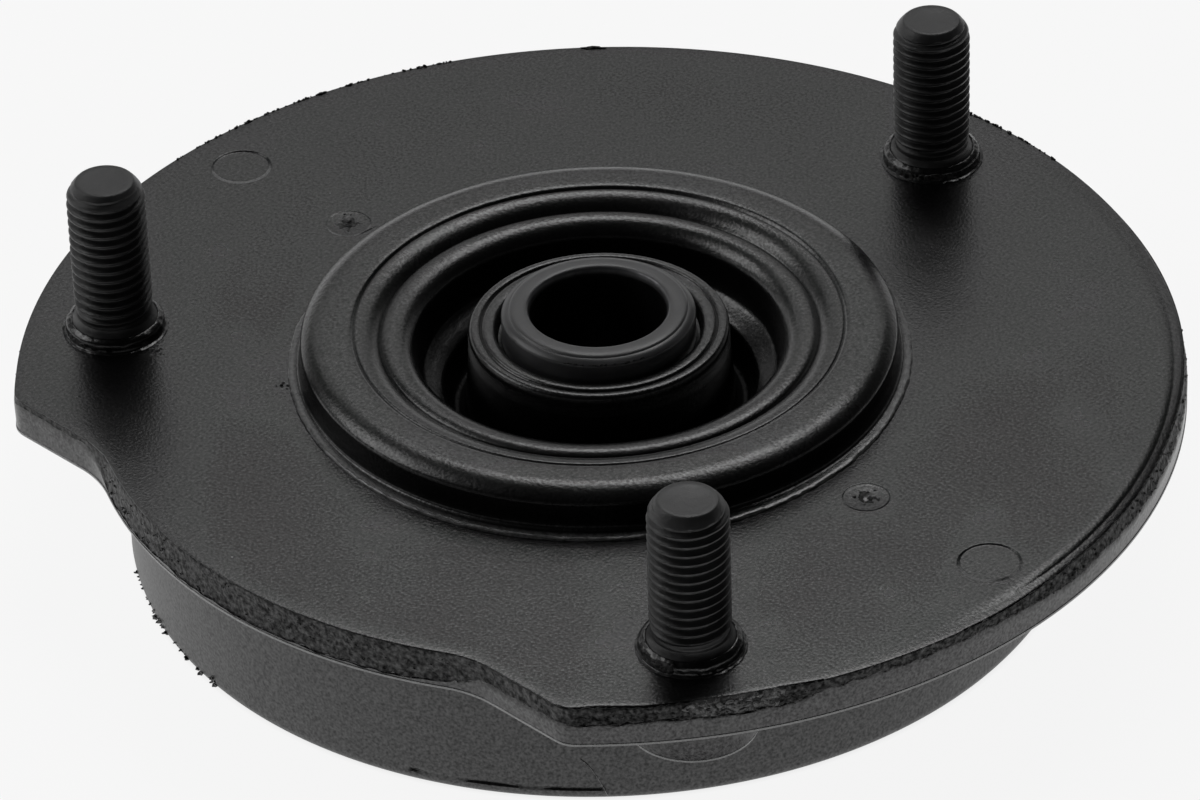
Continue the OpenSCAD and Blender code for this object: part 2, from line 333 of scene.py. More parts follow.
def arc(centre, radius, start, end, steps=6):
    """Points along an arc, with its angles in degrees."""
    angles = [math.radians(start + (end - start) * step / steps) for step in range(steps + 1)]
    return [(centre[0] + radius * math.cos(a), centre[1] + radius * math.sin(a)) for a in angles]


def mark_points(piece, name, rule):
    """Stores the amount that a rule gives for every point of a piece, which its material reads."""
    amounts = [float(rule(vertex.co)) for vertex in piece.data.vertices]
    marks = piece.data.attributes.new(name, "FLOAT", "POINT")
    marks.data.foreach_set("value", amounts)


def stored(tree, name):
    """The amounts that mark_points stored under a name."""
    marks = tree.nodes.new("ShaderNodeAttribute")
    marks.attribute_name = name
    return marks.outputs["Fac"]


def combined(tree, operation, first, second):
    """Two amounts, brought together by a sum, a product or the like."""
    node = tree.nodes.new("ShaderNodeMath")
    node.operation = operation
    tree.links.new(first, node.inputs[0])
    tree.links.new(second, node.inputs[1])
    return node.outputs["Value"]


def mixed(tree, share, first, second, kind="FLOAT"):
    """A number or a colour that goes from a first to a second one with a share."""
    node = tree.nodes.new("ShaderNodeMix")
    node.data_type = kind
    tree.links.new(share, node.inputs["Factor"])
    tree.links.new(first, node.inputs["A"])
    if isinstance(second, bpy.types.NodeSocket):
        tree.links.new(second, node.inputs["B"])
    else:
        node.inputs["B"].default_value = second
    return node.outputs["Result"]


def at_mouth(point):
    """Whether a point of the sleeve is on the rubbed mouth of its bore."""
    return sleeve_mouth_z[0] < point.z < sleeve_mouth_z[1] and point.xy.length < sleeve_mouth_r


def in_bore(point):
    """Whether a point of the sleeve is deep in the bore, below its mouth, where shade is painted in."""
    return point.xy.length < sleeve_mouth_r and point.z < sleeve_deep_z


sleeve_section = [
    (sleeve_bore_r, sleeve_low.z + sleeve_bore_round),
    (sleeve_bore_r + sleeve_bore_round, sleeve_low.z),
    (sleeve_r, sleeve_low.z),
    (sleeve_r, 0),
    (sleeve_r, sleeve_edge_z),
]
sleeve_section += in_mm([
    # slope round the outer edge
    (12.09, 6.6), (12.04, 6.76), (11.93, 6.88), (11.6, 7.08), (11.2, 7.3), (11.14, 7.3), (11.06, 7.4),
    # crowned top face
    (10.85, 7.5), (10.6, 7.56), (10.2, 7.6), (9.5, 7.6), (9.1, 7.56),
    # rounded mouth of the bore
    (8.9, 7.48), (8.76, 7.34), (8.66, 7.14), (8.58, 6.9), (8.53, 6.6),
])
sleeve_section += [(sleeve_bore_r, sleeve_bore_top), (sleeve_bore_r, 0)]
coated_sleeve = spin_section(draw_section("coated_sleeve", sleeve_section), sleeve_steps)
mark_points(coated_sleeve, "rubbed", at_mouth)
mark_points(coated_sleeve, "deep", in_bore)

satin_coat, tree, surface = new_finish("satin_coat")
surface.inputs["IOR"].default_value = 1.6
cloudy = grain(tree, 180, 3)
orange_peel = grain(tree, 1500, 2)
worn = between(tree, grain(tree, 700, 4), 0.25, 0.9, 0.4, 0.62)
bare = combined(tree, "MULTIPLY", stored(tree, "rubbed"), worn)
# Painted shade: below the mouth of the bore the coat colour turns near black.
coat_with_painted_shade = mixed(tree, stored(tree, "deep"), shade(tree, cloudy, *coat_black), painted_bore_shade, "RGBA")
tree.links.new(mixed(tree, bare, coat_with_painted_shade, bare_steel, "RGBA"), surface.inputs["Base Color"])
tree.links.new(bare, surface.inputs["Metallic"])
tree.links.new(between(tree, cloudy, *coat_roughness), surface.inputs["Roughness"])
relief(tree, surface, orange_peel, 0.012 * mm)
finish_piece(coated_sleeve, satin_coat, "inner_sleeve", sleeve_sharp_angle)

# Hub and dome: the middle of the one rubber moulding. From the sleeve outwards it has a channel, a
# land and a lip parted by a fine groove, a deep well that lets the hub move, a bead round the well
# and the dome ring, which ends in a thin lip of flash on the flange.
dome_steps = 360
dome_floor_z = sleeve_low.z
hub_foot_z = 3.2 * mm
hub_section = [(sleeve_r, hub_foot_z)] + in_mm([
    # channel beside the sleeve
    (12.55, 3.3), (12.75, 3.9), (12.88, 4.5), (13, 4.78), (13.2, 4.9),
    # land and fine groove
    (13.5, 4.95), (13.9, 4.98), (14.2, 4.96), (14.44, 4.9), (14.54, 4.78), (14.62, 4.66), (14.71, 4.62),
    # lip
    (14.8, 4.68), (14.88, 4.82), (14.98, 4.92), (15.2, 4.98), (15.5, 5), (15.8, 4.95), (16.05, 4.8),
    # wall of the hub
    (16.2, 4.55), (16.28, 4.2), (16.3, 3.8), (16.35, 2), (16.5, -1), (16.8, -4),
])
well_section = in_mm(arc((18, -5.9), 1.1, 180, 270) + [
    # inner wall and shelf
    (18.6, -6.8), (19.1, -6), (19.35, -4.6), (19.45, -3.5), (19.62, -3.1), (19.95, -2.85),
    # outer wall
    (20.8, -2.42), (21.6, -1.98), (22, -1.7), (22.25, -1.35), (22.6, 0), (22.85, 1.4), (23, 2.2),
])
bead_section = in_mm(arc((25.9, 0.87), 3.3, 148, 90, 12) + arc((25.9, 1.97), 2.2, 86, 55, 6))
bead_section += in_mm([(27.2, 3.62), (27.26, 3.56)])
dome_section = in_mm(arc((30.45, 0.98), 4.08, 140, 94, 14) + [
    # fine crease
    (30.3, 5.03), (30.4, 4.98), (30.48, 4.92), (30.55, 4.9), (30.63, 4.95), (30.72, 5.04),
    # flat top
    (30.84, 5.14), (31, 5.22), (31.3, 5.28), (32, 5.3), (33, 5.3),
])
dome_section += in_mm(arc((33.94, 0.7), 4.6, 90, 50, 16) + arc((36.32, 3.53), 0.9, 44, 4, 6) + [
    # wall of the dome
    (37.3, 2.8), (37.38, 2.1), (37.44, 1.4), (37.5, 0.95), (37.58, 0.68), (37.74, 0.52), (37.95, 0.45),
    # lip of flash, and back under the flange
    (38.3, 0.42), (38.64, 0.37), (38.82, 0.28), (38.88, 0.08), (38.84, -0.3), (38, -1), (33, -10),
])
dome_section += [(33 * mm, dome_floor_z), (sleeve_r, dome_floor_z)]
middle_section = hub_section + well_section + bead_section + dome_section
# Painted shade: the rubber's shine is cut almost to nothing in the deep well and on the dome's upright
# wall.
well_r = (16.3 * mm, 19.5 * mm)
well_top_z = 2.5 * mm
dome_wall_r = 36.9 * mm
dome_wall_z = (0.9 * mm, 3.9 * mm)
dome_wall_shade = 0.85
foot_lip_r = 37.5 * mm
foot_lip_full_r = 38.5 * mm
foot_lip_pale_r = 38.1 * mm
foot_lip_pale = 0.35
foot_lip_low_z = -0.5 * mm
foot_lip_uneven = 0.06 * mm
foot_lip_waves = ((1, 1500), (0.6, 400))
foot_lip_front = (0.71, -0.7)
foot_lip_front_shares = (0.3, 1)
foot_lip_wider = 0.5 * mm
rubber_black = ((0.0025, 0.0025, 0.0026), (0.004, 0.004, 0.0042))
rubber_roughness = (0.23, 0.28)
rubber_shine = (0.26, 0.74)
shaded_shine = 0.08
matt_roughness = 0.42
torn_black = (0.0025, 0.0025, 0.0026)
torn_grey = (0.05, 0.0495, 0.049)
torn_roughness = 0.55
torn_shine = (0.1, 0.62)
torn_depth = 0.34 * mm
pale_grey = (0.34, 0.34, 0.34, 1)
pale_shine = 1
mark_depth = 0.24 * mm
# The marks are given as pairs of a radius and a share of the full height or tear.
locating_place = (65 * mm, 0, 0)
locating_rim = [(0, 0), (3.45 * mm, 0), (4.05 * mm, 1), (4.8 * mm, 1)]
gate_place = (45 * mm, 0, 0)
gate_rim = [(0, 0.7), (1 * mm, 0.2), (2.2 * mm, 0.45), (2.7 * mm, 0.6), (3 * mm, 1), (3.4 * mm, 1)]
gate_tear = [(0, 0.62), (0.8 * mm, 0.55), (1.5 * mm, 0.3), (2.4 * mm, 0), (3 * mm, 0)]


def waves(point, sizes):
    """Unevenness at a point, from pairs of a height and a number of waves to the metre."""
    return sum(height * noise.noise(point * per_metre) for height, per_metre in sizes)


def fray_foot_lip(point):
    """Makes the lip of flash round the dome a little uneven, and wider at the front."""
    radius = math.hypot(point.x, point.y)
    if radius < foot_lip_r or point.z < foot_lip_low_z:
        return point
    grown = smooth_step(foot_lip_r, foot_lip_full_r, radius)
    ahead = (point.x * foot_lip_front[0] + point.y * foot_lip_front[1]) / radius
    wider = foot_lip_wider * grown * smooth_step(*foot_lip_front_shares, ahead)
    point += Vector((point.x, point.y, 0)) * (wider / radius)
    change = foot_lip_uneven * grown * waves(point, foot_lip_waves)
    return point + Vector((point.x, point.y, 0)) * (2 * change / radius) + Vector((0, 0, change / 2))


def lip_paleness(point):
    """How pale a point is: only the thin lip of flash is."""
    return foot_lip_pale if point.xy.length > foot_lip_pale_r and point.z > 0 else 0


def dome_painted_shade(point):
    """How much of the shine is cut to paint shade: the deep well fully, the dome's upright wall nearly."""
    radius = point.xy.length
    if well_r[0] < radius < well_r[1] and point.z < well_top_z:
        return 1
    on_wall = radius > dome_wall_r and dome_wall_z[0] < point.z < dome_wall_z[1]
    return dome_wall_shade if on_wall else 0


def round_mark(tree, place, profile):
    """Share over a round mark and its mirror image, from pairs of a radius and a share."""
    point = tree.nodes.new("ShaderNodeTexCoord")
    parts = tree.nodes.new("ShaderNodeSeparateXYZ")
    side = tree.nodes.new("ShaderNodeMath")
    side.operation = "ABSOLUTE"
    folded = tree.nodes.new("ShaderNodeCombineXYZ")
    away = tree.nodes.new("ShaderNodeVectorMath")
    away.operation = "DISTANCE"
    away.inputs[1].default_value = place
    reach = profile[-1][0]
    share = tree.nodes.new("ShaderNodeMath")
    share.operation = "DIVIDE"
    share.use_clamp = True
    share.inputs[1].default_value = reach
    ramp = tree.nodes.new("ShaderNodeValToRGB")
    ramp.color_ramp.interpolation = "EASE"
    stops = ramp.color_ramp.elements
    while len(stops) < len(profile):
        stops.new(0.5)
    for stop, (radius, height) in zip(stops, profile):
        stop.position = radius / reach
        stop.color = (height, height, height, 1)
    tree.links.new(point.outputs["Object"], parts.inputs["Vector"])
    tree.links.new(parts.outputs["X"], side.inputs[0])
    tree.links.new(side.outputs["Value"], folded.inputs["X"])
    tree.links.new(parts.outputs["Y"], folded.inputs["Y"])
    tree.links.new(parts.outputs["Z"], folded.inputs["Z"])
    tree.links.new(folded.outputs["Vector"], away.inputs[0])
    tree.links.new(away.outputs["Value"], share.inputs[0])
    tree.links.new(share.outputs["Value"], ramp.inputs["Fac"])
    return ramp.outputs["Color"]


hub_and_dome = spin_section(draw_section("hub_and_dome", middle_section), dome_steps)
mark_points(hub_and_dome, "pale", lip_paleness)
mark_points(hub_and_dome, "painted_shade", dome_painted_shade)
move_points(hub_and_dome, fray_foot_lip)

rubber, tree, surface = new_finish("moulded_rubber")
surface.inputs["IOR"].default_value = 1.68
fine = grain(tree, 2600, 4)
cloudy = grain(tree, 90, 4)
tatters = grain(tree, 1300, 5)
flecks = grain(tree, 1700, 5)
marked = combined(tree, "ADD", stored(tree, "torn"), round_mark(tree, gate_place, gate_tear))
ragged = combined(tree, "ADD", marked, between(tree, tatters, -0.5, 0.35))
torn = between(tree, ragged, 0, 1, 0.4, 0.6)
torn_colour = shade(tree, flecks, torn_black, torn_grey, 0.56, 0.78)
skin_colour = mixed(tree, torn, shade(tree, cloudy, *rubber_black), torn_colour, "RGBA")
pale = stored(tree, "pale")
pale_flecks = combined(tree, "MULTIPLY", pale, between(tree, flecks, 0.35, 1))
colour = mixed(tree, pale_flecks, skin_colour, pale_grey, "RGBA")
tree.links.new(colour, surface.inputs["Base Color"])
satin = between(tree, cloudy, *rubber_roughness)
roughness = mixed(tree, torn, mixed(tree, stored(tree, "matt"), satin, matt_roughness), torn_roughness)
tree.links.new(roughness, surface.inputs["Roughness"])
# Painted shade: the shine drops where the painted shade was stored.
shine_left_by_shade = between(tree, stored(tree, "painted_shade"), 1, shaded_shine, 0, 1)
skin_shine = combined(tree, "MULTIPLY", between(tree, fine, *rubber_shine), shine_left_by_shade)
shine = mixed(tree, torn, skin_shine, between(tree, flecks, *torn_shine, 0.36, 0.66))
tree.links.new(mixed(tree, pale, shine, pale_shine), surface.inputs["Specular IOR Level"])
relief(tree, surface, fine, 0.034 * mm)
relief(tree, surface, cloudy, 0.1 * mm)
relief(tree, surface, round_mark(tree, locating_place, locating_rim), mark_depth)
relief(tree, surface, round_mark(tree, gate_place, gate_rim), mark_depth)
relief(tree, surface, combined(tree, "MULTIPLY", tatters, torn), torn_depth)
finish_piece(hub_and_dome, rubber, "rubber_body")

# Flange and lower wall: the outside of the same moulding. The skin wraps the steel plate, whose
# round outline is cut back on one side, and the mould's halves part along the rim: flash was torn
# off there, which leaves a rough strip over a smooth band.
flange_low, flange_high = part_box("rubber_body")
flange_r = flange_high.x
flange_steps = 900
cut_r = 63.9 * mm
cut_y = 55.2 * mm
cut_corner = 1 * mm
cut_fillet = 1.9 * mm
cut_starts = 0.5
floor_z = flange_low.z
wall_r = 59.8 * mm
wall_anchor_r = 60.3 * mm
wall_top_z = -5.4 * mm
rim_width = 2.2 * mm
# The torn strip runs down the rim from its edge to its end, and a smooth band lies below it.
torn_edge_z = -0.14 * mm
torn_top_z = -0.66 * mm
torn_end_z = -2.45 * mm
band_end_z = -4.8 * mm
torn_row = 0.02 * mm
torn_at_edge = 0.4
torn_in_patch = 0.55
torn_patch_angles = (-37.5, -28)
torn_patch_grain = 420
torn_shares = [
    # angle and the share of its full width that the torn strip has there
    (-180, 0.5), (-136, 0.5), (-131, 0.2), (-121, 0.2), (-117, 0.9), (-60, 0.9), (-46, 0.85), (-41, 0.55),
    (-37, 0.8), (-29, 0.75), (-24, 0.3), (-8, 0.3), (6, 0.8), (40, 0.8), (60, 0.5), (180, 0.5),
]
torn_lean_least = 0.35
torn_lean_grows = (-50, -46)
torn_lean_fades = (25, 50)
torn_lean_inset = 1.2 * mm
torn_wander = ((0.3, 110), (0.35, 480))
torn_wider = 2.2
torn_wider_middle = -90
torn_wider_fades = (26, 33)
torn_sunk = 0.08
torn_waves = ((0.12, 900), (0.1, 2100))
torn_waves_grow = 0.6 * mm
fin_z = (-5.15 * mm, -4.85 * mm)
fin_r = flange_r + 0.045 * mm
fin_pale = 0.9
# On the right, the top edge falls to a soft lip.
lip_grows = (-14, 6)
lip_fades = (60, 85)
lip_width = 2 * mm
lip_low_z = -0.3 * mm
lip_top_z = -0.16 * mm
lip_fall = 0.4
seam_angles = (-69, -46)
seam_rise = (1.5 * mm, 1.9 * mm)
seam_depth = 0.4 * mm
seam_grain = 170
seam_offset = 0.7
hairline = 0.01 * mm


def soft_min(a, b, blend):
    """The smaller of two lengths, with the corner between them rounded."""
    share = max(blend - abs(a - b), 0) / blend
    return min(a, b) - share * share * blend / 4


def soft_max(a, b, blend):
    """The larger of two lengths, with the corner between them rounded."""
    return -soft_min(-a, -b, blend)


def flange_edge(angle, inset):
    """Distance of the flange's outline from the axis in one direction, drawn in by an inset."""
    round_r = flange_r - inset
    down = -math.sin(angle)
    if down < cut_starts:
        return round_r
    straight = (cut_y - inset) / down
    return soft_min(round_r, soft_max(cut_r - inset, straight, cut_fillet), cut_corner)


def rim_points(insets_and_heights):
    """Points on the rim, from their distances inside the outline and their heights in mm."""
    return [(flange_r - inset * mm, z * mm) for inset, z in insets_and_heights]


def foot_points(radii_and_rises):
    """Points near the foot, from their radii and their rises above the floor in mm."""
    return [(r * mm, floor_z + rise * mm) for r, rise in radii_and_rises]


flange_section = in_mm([(36, 0), (38.6, 0), (42, 0), (46, 0), (50, 0), (55, 0), (60, 0), (64, 0), (68, 0)])
flange_section += rim_points([
    # top face and its rolled edge
    (3.2, 0), (2.1, 0), (1.96, -0.002), (1.82, -0.005), (1.5, -0.01), (1.24, -0.05),
    # torn strip
    (1.04, -0.14), (0.9, -0.28), (0.8, -0.45), (0.72, -0.66), (0.65, -0.85), (0.57, -1.08), (0.48, -1.32),
    (0.38, -1.56), (0.28, -1.8), (0.18, -2.05), (0.08, -2.28), (0, -2.45),
    # smooth band
    (-0.04, -2.6), (-0.03, -3.2), (0, -3.9), (0.02, -4.5), (0.02, -4.8),
    # fin of flash
    (-0.03, -4.83), (-0.05, -4.86), (-0.05, -4.9), (-0.05, -5.13), (-0.03, -5.17),
    # underside of the flange
    (0.3, -5.2), (1.2, -5.2), (4, -5.2), (8, -5.2),
])
flange_section += in_mm([(61.2, -5.2), (60.3, -5.28), (59.95, -5.5), (59.8, -6), (59.8, -9), (59.8, -13)])
flange_section += foot_points([
    # wall and its rounded foot
    (59.8, 4), (59.8, 2.4), (59.8, 2), (59.8, 1.8), (59.8, 1.6), (59.8, 1.4), (59.8, 1.1),
    (59.68, 0.6), (59.4, 0.2), (58.9, 0),
    # underside and recess
    (44, 0), (29.2, 0), (28.4, 0.3), (28, 1), (28, 9),
])
flange_section += in_mm([(36, -10)])


def degrees_of(point):
    """Direction of a point from the axis, in degrees."""
    return math.degrees(math.atan2(point.y, point.x))


def on_circle(angle, radius, z):
    """The point in one direction from the axis, at a distance and a height."""
    return Vector((math.cos(angle) * radius, math.sin(angle) * radius, z))


def torn_share(degrees):
    """Share of its full width that the torn strip has in one direction."""
    for (start, share), (end, next_share) in zip(torn_shares, torn_shares[1:]):
        if start <= degrees <= end:
            return share + (next_share - share) * smooth_step(start, end, degrees)
    return torn_shares[-1][1]


def torn_lean(degrees):
    """Share of its full lean that the torn strip has, most between the front and the right."""
    grown = smooth_step(*torn_lean_grows, degrees) - smooth_step(*torn_lean_fades, degrees)
    return torn_share(degrees) * (torn_lean_least + (1 - torn_lean_least) * grown)


def torn_end(angle):
    """Height at which the torn strip ends: it wanders, and it is wider along the cut-back round."""
    wander = waves(on_circle(angle, flange_r, 0), torn_wander)
    degrees = math.degrees(angle)
    from_middle = abs(degrees - torn_wider_middle)
    wider = torn_wider * (1 - smooth_step(*torn_wider_fades, from_middle))
    return torn_top_z + (torn_end_z - torn_top_z) * torn_share(degrees) + (wander - wider) * mm


def sink_seam(point, radius):
    """Sinks a point of the wall that lies on the short seam near its foot."""
    on_face = radius > wall_r - hairline
    in_sector = seam_angles[0] < degrees_of(point) < seam_angles[1]
    if not (on_face and in_sector and seam_rise[0] < point.z - floor_z < seam_rise[1]):
        return point
    wanted = radius - seam_depth * max(noise.noise(point * seam_grain) + seam_offset, 0)
    return Vector((point.x * wanted / radius, point.y * wanted / radius, point.z))


def shape_flange(point):
    """Draws the round rim in to the flange's outline and roughens what was torn."""
    radius = math.hypot(point.x, point.y)
    if radius <= wall_anchor_r:
        return sink_seam(point, radius)
    angle = math.atan2(point.y, point.x)
    degrees = math.degrees(angle)
    inset = flange_r - radius
    z = point.z
    if z > lip_low_z and inset < lip_width:
        fallen = smooth_step(*lip_grows, degrees) - smooth_step(*lip_fades, degrees)
        z += fallen * (lip_top_z - lip_fall * (lip_width - inset) - z)
    if inset > rim_width:
        share = (radius - wall_anchor_r) / (flange_r - rim_width - wall_anchor_r)
        wanted = wall_anchor_r + share * (flange_edge(angle, rim_width) - wall_anchor_r)
        return on_circle(angle, wanted, z)
    if z > torn_end_z:
        lean = torn_lean(degrees)
        inset *= lean + (1 - lean) * smooth_step(torn_lean_inset, rim_width, inset)
    wanted = flange_edge(angle, inset)
    if band_end_z <= z < torn_top_z:
        end = torn_end(angle)
        if z > torn_end_z - hairline:
            z = torn_top_z + (z - torn_top_z) * (end - torn_top_z) / (torn_end_z - torn_top_z)
            rough = torn_sunk + waves(on_circle(angle, wanted, z), torn_waves)
            wanted -= rough * smooth_step(0, torn_waves_grow, torn_top_z - z) * mm
        else:
            z = end + (z - torn_end_z) * (band_end_z - end) / (band_end_z - torn_end_z)
    return on_circle(angle, wanted, z)


def in_pale_patch(point):
    """Whether a point lies in the direction where the strip tore pale."""
    return torn_patch_angles[0] < degrees_of(point) < torn_patch_angles[1]


def rim_tear(point):
    """How torn a point is: fully inside the strip, less on its edges and in the pale patch."""
    if flange_r - point.xy.length >= rim_width:
        return 0
    if min(abs(point.z - torn_end_z), abs(point.z - torn_edge_z)) < torn_row:
        return torn_at_edge
    if torn_end_z < point.z < torn_edge_z - torn_row:
        return torn_in_patch if in_pale_patch(point) else 1
    return 0


def rim_paleness(point):
    """How pale a point is: the fin of flash all along, and the pale patch of the strip in places."""
    radius = point.xy.length
    if radius > fin_r and fin_z[0] < point.z < fin_z[1]:
        return fin_pale
    on_strip = torn_end_z < point.z < torn_edge_z and flange_r - radius < rim_width
    if on_strip and in_pale_patch(point):
        return min(max(0.5 + noise.noise(point * torn_patch_grain), 0), 1)
    return 0


def on_wall(point):
    """Whether a point is on the matt wall or the underside."""
    return point.xy.length <= wall_anchor_r and point.z < wall_top_z


flange_and_wall = spin_section(draw_section("flange_and_wall", flange_section), flange_steps)
mark_points(flange_and_wall, "torn", rim_tear)
mark_points(flange_and_wall, "pale", rim_paleness)
mark_points(flange_and_wall, "matt", on_wall)
move_points(flange_and_wall, shape_flange)
finish_piece(flange_and_wall, rubber, "rubber_body")

# Stud bosses and collars: where the rubber covers the stud heads under the flange, and where it
# rises round the foot of each stud on top. Both are parts of the moulding, with a thin fin of flash
# left on the lower edge of a boss and torn places on the collars.
boss_steps = 120
boss_turns = (0.9, 2.6, 4.3)
boss_section = in_mm([
    (0, -11.2), (7.9, -11.2), (8.03, -11.18), (8.05, -11.14), (8.05, -10.92), (8.03, -10.88),
    (8, -10.84), (8, -2.6), (0, -2.6),
])
boss_fin_z = (-11.15 * mm, -10.91 * mm)
collar_section = in_mm([
    (4.9, -0.4), (6.7, -0.4), (6.7, 0.04), (6.55, 0.12), (6.4, 0.15), (6.3, 0.24),
    (6.27, 0.6), (6.24, 1), (6.15, 1.22), (5.98, 1.38), (5.78, 1.5), (5.6, 1.62), (5.48, 1.66),
    (5.4, 1.62), (5.36, 1.45), (4.9, 1.4),
])
collar_frayed_r = 5.2 * mm
collar_frayed_z = -0.1 * mm
collar_waves = ((0.05 * mm, 700), (0.07 * mm, 1900))
collar_lift = 0.8
collar_torn = 0.75
collar_torn_z = 0.2 * mm
collar_tears = [
    # first and last angle of the torn place on each collar, and its top
    (-200, 160, 1.1 * mm),
    (-125, -65, 1.4 * mm),
    (-110, -80, 1 * mm),
]


def fray_collar(point):
    """Makes the upper edge and the foot of a collar uneven."""
    radius = math.hypot(point.x, point.y)
    if radius < collar_frayed_r or point.z < collar_frayed_z:
        return point
    outward = Vector((point.x / radius, point.y / radius, collar_lift))
    return point + outward * waves(point, collar_waves)


def collar_tear(point):
    """How torn a point is: only the torn place on the side of its own collar is."""
    number = min(range(len(stud_places)), key=lambda n: (point.xy - stud_places[n].xy).length)
    start, end, top = collar_tears[number]
    in_tear = start < degrees_of(point.xy - stud_places[number].xy) < end
    return collar_torn if in_tear and collar_torn_z < point.z < top else 0


def boss_paleness(point):
    """How pale a point is: only the fin of flash is."""
    return fin_pale if boss_fin_z[0] < point.z < boss_fin_z[1] else 0


first_boss = spin_section(draw_section("boss", boss_section, closed=False), boss_steps)
first_collar = spin_section(draw_section("collar", collar_section), boss_steps)
move_points(first_collar, fray_collar)
mouldings = []
for place, turn in zip(stud_places, boss_turns):
    for first in (first_boss, first_collar):
        moulding = copy_piece(first)
        moulding.data.transform(Matrix.Translation(place) @ Matrix.Rotation(turn, 4, "Z"))
        mouldings.append(moulding)
bpy.data.objects.remove(first_boss)
bpy.data.objects.remove(first_collar)
stud_mouldings = join_pieces("stud_mouldings", mouldings)
mark_points(stud_mouldings, "torn", collar_tear)
mark_points(stud_mouldings, "pale", boss_paleness)
finish_piece(stud_mouldings, rubber, "rubber_body")

# Torn flash: the shreds of rubber that stay where flash is torn off along the parting lines, at the
# two gates and on the edge of the sleeve, and one hair of flash on the lower wall.
shred_kinds = 6
shred_size = 0.85
shred_rough = 0.7
shred_grain = 1100
shred_kind_step = 7.3
shred_sharp_angle = 60
shred_lean_z = (-0.7, -2.4)
shred_pale = 0.8
rim_shreds = [
    # first and last angle, count, inset, lowest and highest z, least and greatest size, pale or not
    (150, 184, 70, 0.3, -0.05, 0.08, 0.12, 0.32, False),
    (80, 98, 64, 0.3, -0.02, 0.1, 0.14, 0.32, False),
    (-140, -124, 26, 0.3, -1.6, 0, 0.12, 0.3, False),
    (-38, -31, 34, 0.5, -1.3, -0.4, 0.14, 0.4, True),
    (-48, -26, 60, 0.3, -2.4, -0.7, 0.07, 0.2, False),
    (-4, 60, 120, 0.5, -2.3, -0.7, 0.07, 0.22, False),
    (-118, -62, 150, 0.1, -4.2, -0.6, 0.07, 0.22, False),
]
foot_shreds = (-126, -98, 44, 0.16, 0.5)
foot_shreds_inset = 0.15 * mm
foot_shreds_rise = 1.3
sleeve_shreds = (-67, -17, 54, 11.95, 6.86, 0.07, 0.2)
sleeve_shreds_z = (-0.12, 0.05)
flash_scrap = (135, 0.5 * mm, 0.1 * mm, (1.75, 0.3, 0.22))
gate_shreds = [
    # x and y, half sizes along, across and up, turn in degrees, pale or not
    ((45.6, 0.65), (0.45, 0.3, 0.28), 45, True),
    ((45.2, 0.3), (0.25, 0.2, 0.2), 45, True),
    ((43.9, -0.9), (0.3, 0.2, 0.14), 45, False),
    ((-45.3, 0.4), (1.1, 0.55, 0.2), 45, False),
    ((-44.6, -0.5), (0.6, 0.3, 0.16), 45, False),
    ((-46.9, 1.2), (0.22, 0.18, 0.12), 45, False),
    ((-46.2, 1.6), (0.2, 0.14, 0.1), 45, False),
    ((-42, 0.9), (1.6, 0.15, 0.06), 85, False),
]
flange_scraps = [
    # angle, radius, count, spread, least and greatest size, pale or not
    (221, 55.7, 22, 0.7, 0.1, 0.34, True),
    (231.7, 39.6, 9, 0.42, 0.1, 0.3, False),
]
hair_angles = (-48.4, -45.4)
hair_heights = (-17.2 * mm, -22.7 * mm)
hair_r = 0.05 * mm
hair_knots = 12
hair_power = 0.7
smooth_below_z = -17 * mm
chance = random.Random(7)
shred_shapes = []
for kind in range(shred_kinds):
    bpy.ops.object.select_all(action="DESELECT")
    bpy.ops.mesh.primitive_ico_sphere_add(subdivisions=2, radius=mm)
    shape = bpy.context.object
    apart = Vector((shred_kind_step * kind, 0, 0))
    move_points(shape, lambda p: p * (shred_size + shred_rough * noise.noise(p * shred_grain + apart)))
    shred_shapes.append(shape)
dark_shreds = []
pale_shreds = []


def lay_shred(place, half_sizes, turn, is_pale=False):
    """Lays one torn shred at a place, with its half sizes along, across and up in mm."""
    shred = copy_piece(chance.choice(shred_shapes))
    scaled = Matrix.Diagonal((*half_sizes, 1))
    shred.data.transform(Matrix.Translation(place) @ Matrix.Rotation(turn, 4, "Z") @ scaled)
    (pale_shreds if is_pale else dark_shreds).append(shred)


def random_sizes(least, greatest):
    """Half sizes of a shred, longer along the edge that it hangs on."""
    size = least + (greatest - least) * chance.random() ** 2
    along = size * (1 + 0.8 * chance.random())
    across = size * (0.5 + 0.4 * chance.random())
    return along, across, size * (0.5 + 0.5 * chance.random())


for start, end, count, inset, low, high, least, greatest, is_pale in rim_shreds:
    for _ in range(count):
        angle = math.radians(chance.uniform(start, end))
        height = chance.uniform(low, high)
        set_in = inset
        if high < 0:
            set_in *= torn_lean(math.degrees(angle)) * (1 - smooth_step(*shred_lean_z, height))
        place = on_circle(angle, flange_edge(angle, set_in * mm), height * mm)
        turn = angle + math.pi / 2 + chance.uniform(-0.5, 0.5)
        lay_shred(place, random_sizes(least, greatest), turn, is_pale)
start, end, count, least, greatest = foot_shreds
for _ in range(count):
    angle = math.radians(chance.uniform(start, end))
    half_sizes = random_sizes(least, greatest)
    height = floor_z + half_sizes[2] * foot_shreds_rise * mm + chance.random() * mm
    lay_shred(on_circle(angle, wall_r - foot_shreds_inset, height), half_sizes, angle)
start, end, count, out, height, least, greatest = sleeve_shreds
for _ in range(count):
    angle = math.radians(chance.uniform(start, end))
    place = on_circle(angle, out, height + chance.uniform(*sleeve_shreds_z)) * mm
    lay_shred(place, random_sizes(least, greatest), angle + math.pi / 2)
degrees, inset, height, half_sizes = flash_scrap
angle = math.radians(degrees)
lay_shred(on_circle(angle, flange_edge(angle, inset), height), half_sizes, angle + math.pi / 2)
for (x, y), half_sizes, degrees, is_pale in gate_shreds:
    lay_shred(Vector((x, y, 0)) * mm, half_sizes, math.radians(degrees), is_pale)
